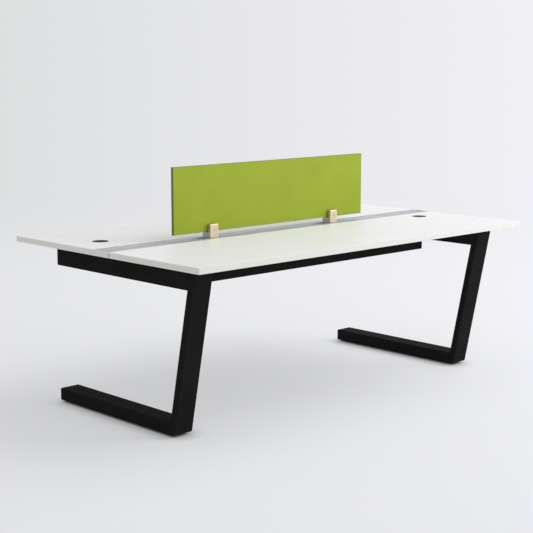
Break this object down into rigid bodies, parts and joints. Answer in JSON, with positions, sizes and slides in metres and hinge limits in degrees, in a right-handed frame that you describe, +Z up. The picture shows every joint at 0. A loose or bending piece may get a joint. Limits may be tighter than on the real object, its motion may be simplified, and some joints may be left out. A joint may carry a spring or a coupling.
{
  "type": "bench desk with privacy screen",
  "caption": "Bench desk with white worktops on both sides of an aluminium rail, black leaning C-frames and a green privacy screen on sliding clamps.",
  "frame": {"origin": "on the floor, under the middle of the desk", "axes": "+X along the desk and its rail, -Y towards the front edge that the legs lean from, +Z up"},
  "size_m": [2.1, 1.27, 1.077],
  "materials": {
    "white_laminate": "white melamine laminate, fine matt texture",
    "pale_grey_plastic": "pale grey ABS, satin",
    "anodised_rail": "natural anodised extrusion, satin",
    "black_powder_coat": "fine black powder coat on steel",
    "black_moulding": "black moulded polyamide",
    "zinc_fixings": "zinc plated steel",
    "maroon_moulding": "very dark maroon moulded plastic",
    "green_screen": "olive green laminated board, matt",
    "olive_trim": "dark olive edge trim, satin",
    "champagne_aluminium": "champagne anodised, satin",
    "black_rubber": "black rubber"
  },
  "bodies": {
    "desk": {"front_top": "white_laminate", "rear_top": "white_laminate", "front_edge_band": "pale_grey_plastic", "rear_edge_band": "pale_grey_plastic", "centre_rail": "anodised_rail", "left_rail_cap": "pale_grey_plastic", "right_rail_cap": "pale_grey_plastic", "rail_cap_screws": "zinc_fixings", "joining_plates": "black_powder_coat", "rail_bolts": "zinc_fixings", "rail_slot_nuts": "zinc_fixings", "left_beam": "black_powder_coat", "left_leg": "black_powder_coat", "left_foot": "black_powder_coat", "left_beam_cap": "black_moulding", "left_foot_cap": "black_moulding", "right_beam": "black_powder_coat", "right_leg": "black_powder_coat", "right_foot": "black_powder_coat", "right_beam_cap": "black_moulding", "right_foot_cap": "black_moulding", "front_crossbeam": "black_powder_coat", "rear_crossbeam": "black_powder_coat", "crossbeam_plates": "black_powder_coat", "top_cleats": "black_powder_coat", "frame_bolts": "zinc_fixings", "front_cable_tray": "black_powder_coat", "rear_cable_tray": "black_powder_coat", "tray_end_plates": "black_powder_coat", "tray_hangers": "black_powder_coat", "tray_screws": "zinc_fixings", "glide_inserts": "zinc_fixings", "front_grommet_liner": "maroon_moulding", "rear_grommet_liner": "maroon_moulding"},
    "screen_carriage": {"screen_panel": "green_screen", "screen_trim": "olive_trim", "left_clamp": "champagne_aluminium", "right_clamp": "champagne_aluminium", "clamp_liners": "black_rubber", "clamp_slot_nuts": "zinc_fixings", "clamp_base_screws": "zinc_fixings"},
    "left_grip": {"left_grip_screw": "champagne_aluminium", "left_grip_pad": "black_rubber"},
    "right_grip": {"right_grip_screw": "champagne_aluminium", "right_grip_pad": "black_rubber"},
    "front_lid": {"front_grommet_lid": "maroon_moulding"},
    "front_shutter": {"front_grommet_shutter": "maroon_moulding"},
    "rear_lid": {"rear_grommet_lid": "maroon_moulding"},
    "rear_shutter": {"rear_grommet_shutter": "maroon_moulding"},
    "front_left_foot_glide": {"front_left_glide": "black_moulding"},
    "rear_left_foot_glide": {"rear_left_glide": "black_moulding"},
    "front_right_foot_glide": {"front_right_glide": "black_moulding"},
    "rear_right_foot_glide": {"rear_right_glide": "black_moulding"}
  },
  "joints": [
    {"name": "screen_slide", "type": "slide", "parent": "desk", "child": "screen_carriage", "axis": [1, 0, 0], "range_m": [-0.395, 0.485]},
    {"name": "left_grip_open", "type": "slide", "parent": "screen_carriage", "child": "left_grip", "axis": [0, -1, 0], "range_m": [0, 0.003]},
    {"name": "right_grip_open", "type": "slide", "parent": "screen_carriage", "child": "right_grip", "axis": [0, -1, 0], "range_m": [0, 0.003]},
    {"name": "front_lid_lift", "type": "slide", "parent": "desk", "child": "front_lid", "axis": [0, 0, 1], "range_m": [0, 0.03]},
    {"name": "front_shutter_turn", "type": "hinge", "parent": "front_lid", "child": "front_shutter", "pos_m": [0.845, -0.156, 0.7454], "axis": [0, 0, 1], "range_deg": [0, 180]},
    {"name": "rear_lid_lift", "type": "slide", "parent": "desk", "child": "rear_lid", "axis": [0, 0, 1], "range_m": [0, 0.03]},
    {"name": "rear_shutter_turn", "type": "hinge", "parent": "rear_lid", "child": "rear_shutter", "pos_m": [-0.875, 0.233, 0.7454], "axis": [0, 0, 1], "range_deg": [0, 180]},
    {"name": "front_left_glide_out", "type": "slide", "parent": "desk", "child": "front_left_foot_glide", "axis": [0, 0, -1], "range_m": [0, 0.012]},
    {"name": "front_right_glide_out", "type": "slide", "parent": "desk", "child": "front_right_foot_glide", "axis": [0, 0, -1], "range_m": [0, 0.012]},
    {"name": "rear_left_glide_out", "type": "slide", "parent": "desk", "child": "rear_left_foot_glide", "axis": [0, 0, -1], "range_m": [0, 0.012]},
    {"name": "rear_right_glide_out", "type": "slide", "parent": "desk", "child": "rear_right_foot_glide", "axis": [0, 0, -1], "range_m": [0, 0.012]}
  ]
}
